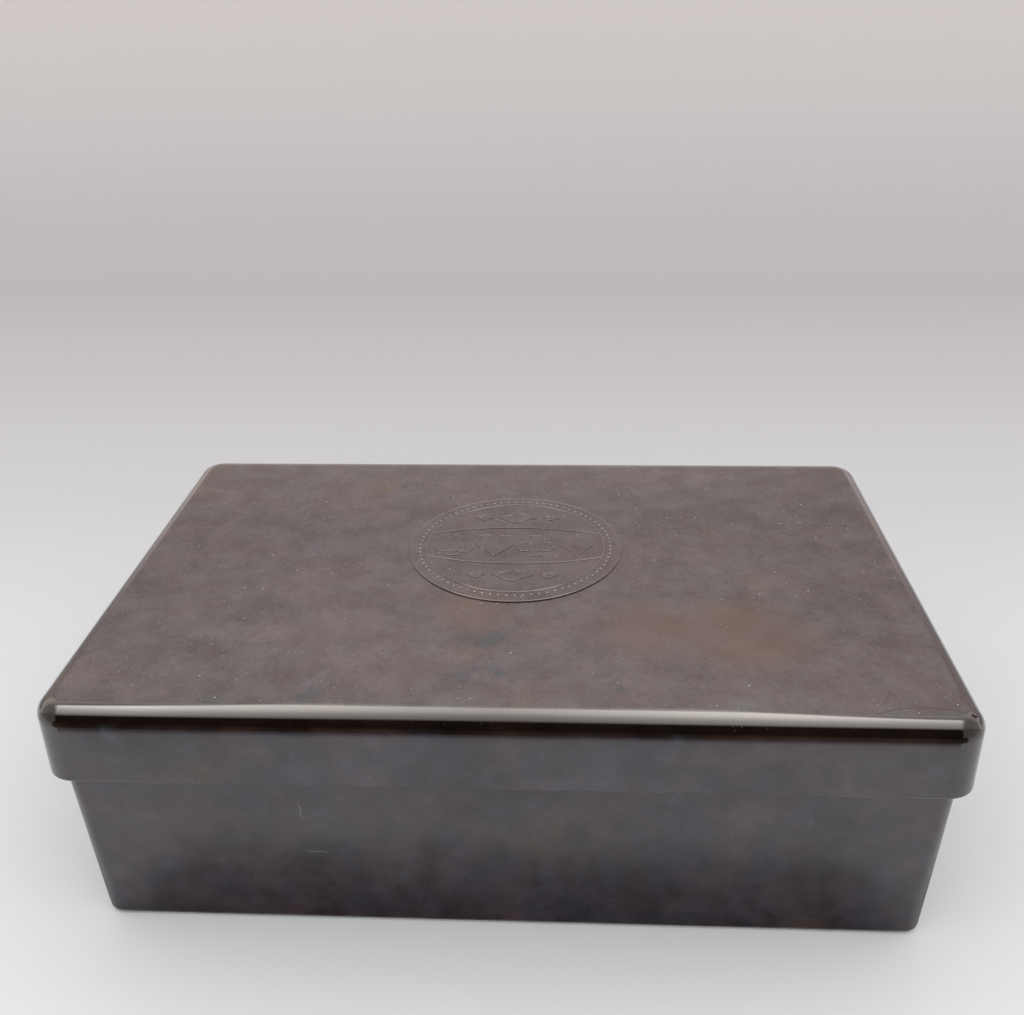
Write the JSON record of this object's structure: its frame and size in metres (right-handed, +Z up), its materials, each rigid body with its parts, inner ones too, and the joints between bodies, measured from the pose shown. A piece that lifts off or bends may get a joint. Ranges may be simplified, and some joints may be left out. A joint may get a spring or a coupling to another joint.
{
  "type": "playing card and chip case",
  "caption": "Low rectangular moulded box with rounded corners and a deep overhanging lift-off lid with a raised roundel; webs and lift-out racks inside hold cards and chips.",
  "frame": {"origin": "middle of the footprint, on the surface that the case stands on", "axes": "+X along the case's length, to the right seen from the front; -Y is the front; +Z up"},
  "size_m": [0.2032, 0.1296, 0.0649],
  "materials": {
    "case_phenolic": "glossy mottled dark brown moulded phenolic",
    "rack_phenolic": "semi-gloss dark brown moulded phenolic"
  },
  "bodies": {
    "case_base": {"base": "case_phenolic"},
    "case_lid": {"lid": "case_phenolic"},
    "rack_front_left": {"chip_rack_front_left": "rack_phenolic"},
    "rack_front_right": {"chip_rack_front_right": "rack_phenolic"},
    "rack_back_left": {"chip_rack_back_left": "rack_phenolic"},
    "rack_back_right": {"chip_rack_back_right": "rack_phenolic"}
  },
  "joints": [
    {"name": "lid_lift", "type": "slide", "parent": "case_base", "child": "case_lid", "axis": [0, 0, 1], "range_m": [0, 0.14]},
    {"name": "rack_front_left_lift", "type": "slide", "parent": "case_base", "child": "rack_front_left", "axis": [0, 0, 1], "range_m": [0, 0.07]},
    {"name": "rack_front_right_lift", "type": "slide", "parent": "case_base", "child": "rack_front_right", "axis": [0, 0, 1], "range_m": [0, 0.07]},
    {"name": "rack_back_left_lift", "type": "slide", "parent": "case_base", "child": "rack_back_left", "axis": [0, 0, 1], "range_m": [0, 0.07]},
    {"name": "rack_back_right_lift", "type": "slide", "parent": "case_base", "child": "rack_back_right", "axis": [0, 0, 1], "range_m": [0, 0.07]}
  ],
  "couplings": [
    {"joint": "rack_front_left_lift", "follows": "lid_lift", "ratio": 0.5},
    {"joint": "rack_front_right_lift", "follows": "lid_lift", "ratio": 0.5},
    {"joint": "rack_back_left_lift", "follows": "lid_lift", "ratio": 0.5},
    {"joint": "rack_back_right_lift", "follows": "lid_lift", "ratio": 0.5}
  ]
}
